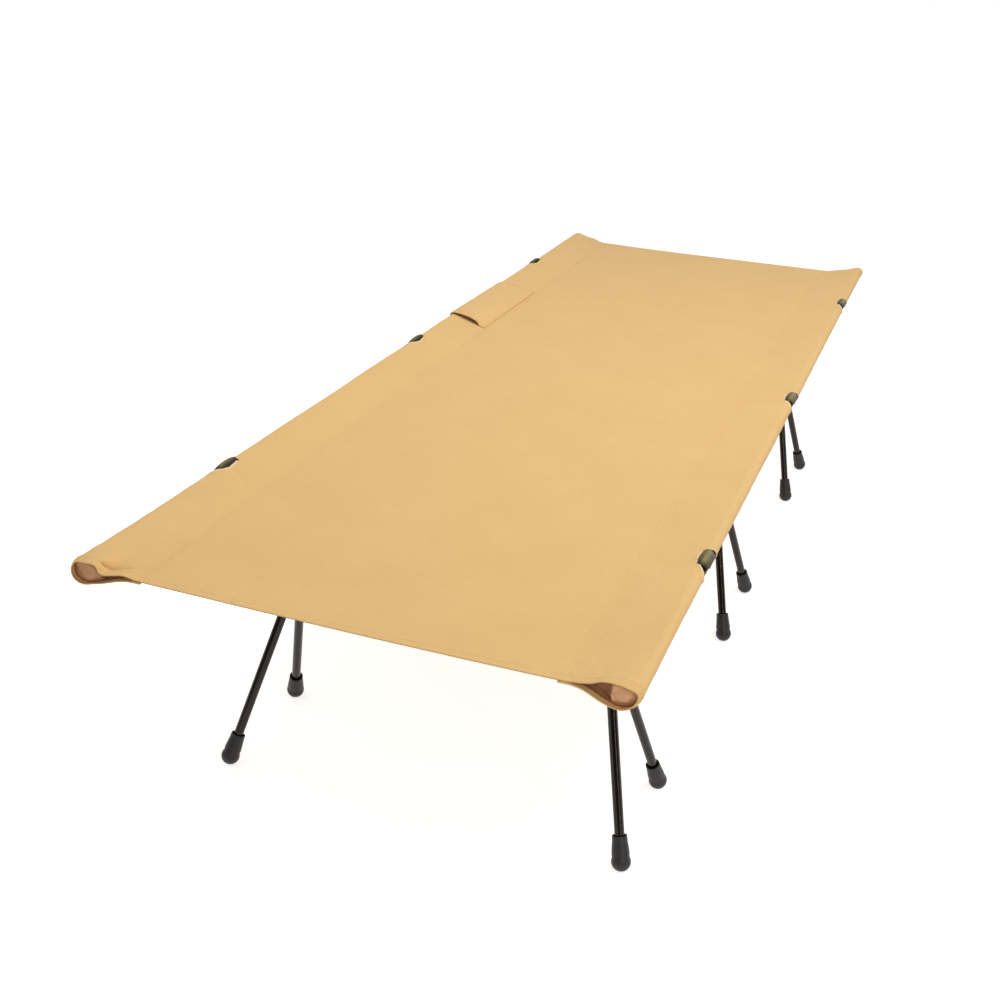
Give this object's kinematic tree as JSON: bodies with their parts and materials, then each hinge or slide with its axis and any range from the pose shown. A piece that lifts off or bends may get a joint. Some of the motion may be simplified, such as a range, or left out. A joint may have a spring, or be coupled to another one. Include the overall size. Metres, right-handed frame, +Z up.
{
  "type": "camping cot",
  "caption": "Low-slung camping cot: a taut fabric bed on two side poles, carried by cross frames with splayed plug-in legs, rubber feet and tension levers, with a storage pocket.",
  "frame": {"origin": "on the ground, under the middle of the bed", "axes": "+X across the cot to the side with the hook clips, +Y along it to the head end with the storage pocket, +Z up"},
  "size_m": [0.6788, 1.9102, 0.4198],
  "materials": {
    "bed_fabric": "matt woven tan",
    "tube": "black anodised",
    "nylon": "satin black",
    "rubber": "matt dark grey",
    "steel": "plain"
  },
  "bodies": {
    "cot": {"bed_sheet": "bed_fabric", "storage_pocket": "bed_fabric", "side_pole_left": "tube", "side_pole_right": "tube", "pole_cap_foot_left": "nylon", "pole_cap_foot_right": "nylon", "pole_cap_head_left": "nylon", "pole_cap_head_right": "nylon", "spreader_foot": "tube", "hook_clip_foot": "nylon", "lever_clip_foot": "nylon", "lever_pin_foot": "steel", "arm_foot_left": "tube", "leg_hub_foot_left": "nylon", "arm_foot_right": "tube", "leg_hub_foot_right": "nylon", "spreader_middle": "tube", "hook_clip_middle": "nylon", "lever_clip_middle": "nylon", "lever_pin_middle": "steel", "arm_middle_left": "tube", "leg_hub_middle_left": "nylon", "arm_middle_right": "tube", "leg_hub_middle_right": "nylon", "spreader_head": "tube", "hook_clip_head": "nylon", "lever_clip_head": "nylon", "lever_pin_head": "steel", "arm_head_left": "tube", "leg_hub_head_left": "nylon", "arm_head_right": "tube", "leg_hub_head_right": "nylon"},
    "lever_foot": {"tension_lever_foot": "nylon"},
    "leg_foot_left_fore": {"leg_foot_left_fore": "tube", "rubber_foot_foot_left_fore": "rubber"},
    "leg_foot_left_aft": {"leg_foot_left_aft": "tube", "rubber_foot_foot_left_aft": "rubber"},
    "leg_foot_right_fore": {"leg_foot_right_fore": "tube", "rubber_foot_foot_right_fore": "rubber"},
    "leg_foot_right_aft": {"leg_foot_right_aft": "tube", "rubber_foot_foot_right_aft": "rubber"},
    "lever_middle": {"tension_lever_middle": "nylon"},
    "leg_middle_left_fore": {"leg_middle_left_fore": "tube", "rubber_foot_middle_left_fore": "rubber"},
    "leg_middle_left_aft": {"leg_middle_left_aft": "tube", "rubber_foot_middle_left_aft": "rubber"},
    "leg_middle_right_fore": {"leg_middle_right_fore": "tube", "rubber_foot_middle_right_fore": "rubber"},
    "leg_middle_right_aft": {"leg_middle_right_aft": "tube", "rubber_foot_middle_right_aft": "rubber"},
    "lever_head": {"tension_lever_head": "nylon"},
    "leg_head_left_fore": {"leg_head_left_fore": "tube", "rubber_foot_head_left_fore": "rubber"},
    "leg_head_left_aft": {"leg_head_left_aft": "tube", "rubber_foot_head_left_aft": "rubber"},
    "leg_head_right_fore": {"leg_head_right_fore": "tube", "rubber_foot_head_right_fore": "rubber"},
    "leg_head_right_aft": {"leg_head_right_aft": "tube", "rubber_foot_head_right_aft": "rubber"}
  },
  "joints": [
    {"name": "lever_foot_swing", "type": "hinge", "parent": "cot", "child": "lever_foot", "pos_m": [-0.30962, -0.635, 0.3589], "axis": [0, 1, 0], "range_deg": [0, 110]},
    {"name": "leg_foot_left_fore_pull", "type": "slide", "parent": "cot", "child": "leg_foot_left_fore", "axis": [-0.2254, -0.317, -0.9212], "range_m": [0, 0.05]},
    {"name": "leg_foot_left_aft_pull", "type": "slide", "parent": "cot", "child": "leg_foot_left_aft", "axis": [-0.2254, 0.317, -0.9212], "range_m": [0, 0.05]},
    {"name": "leg_foot_right_fore_pull", "type": "slide", "parent": "cot", "child": "leg_foot_right_fore", "axis": [0.2254, -0.317, -0.9212], "range_m": [0, 0.05]},
    {"name": "leg_foot_right_aft_pull", "type": "slide", "parent": "cot", "child": "leg_foot_right_aft", "axis": [0.2254, 0.317, -0.9212], "range_m": [0, 0.05]},
    {"name": "lever_middle_swing", "type": "hinge", "parent": "cot", "child": "lever_middle", "pos_m": [-0.30962, 0, 0.3589], "axis": [0, 1, 0], "range_deg": [0, 110]},
    {"name": "leg_middle_left_fore_pull", "type": "slide", "parent": "cot", "child": "leg_middle_left_fore", "axis": [-0.2254, -0.317, -0.9212], "range_m": [0, 0.05]},
    {"name": "leg_middle_left_aft_pull", "type": "slide", "parent": "cot", "child": "leg_middle_left_aft", "axis": [-0.2254, 0.317, -0.9212], "range_m": [0, 0.05]},
    {"name": "leg_middle_right_fore_pull", "type": "slide", "parent": "cot", "child": "leg_middle_right_fore", "axis": [0.2254, -0.317, -0.9212], "range_m": [0, 0.05]},
    {"name": "leg_middle_right_aft_pull", "type": "slide", "parent": "cot", "child": "leg_middle_right_aft", "axis": [0.2254, 0.317, -0.9212], "range_m": [0, 0.05]},
    {"name": "lever_head_swing", "type": "hinge", "parent": "cot", "child": "lever_head", "pos_m": [-0.30962, 0.635, 0.3589], "axis": [0, 1, 0], "range_deg": [0, 110]},
    {"name": "leg_head_left_fore_pull", "type": "slide", "parent": "cot", "child": "leg_head_left_fore", "axis": [-0.2254, -0.317, -0.9212], "range_m": [0, 0.05]},
    {"name": "leg_head_left_aft_pull", "type": "slide", "parent": "cot", "child": "leg_head_left_aft", "axis": [-0.2254, 0.317, -0.9212], "range_m": [0, 0.05]},
    {"name": "leg_head_right_fore_pull", "type": "slide", "parent": "cot", "child": "leg_head_right_fore", "axis": [0.2254, -0.317, -0.9212], "range_m": [0, 0.05]},
    {"name": "leg_head_right_aft_pull", "type": "slide", "parent": "cot", "child": "leg_head_right_aft", "axis": [0.2254, 0.317, -0.9212], "range_m": [0, 0.05]}
  ]
}
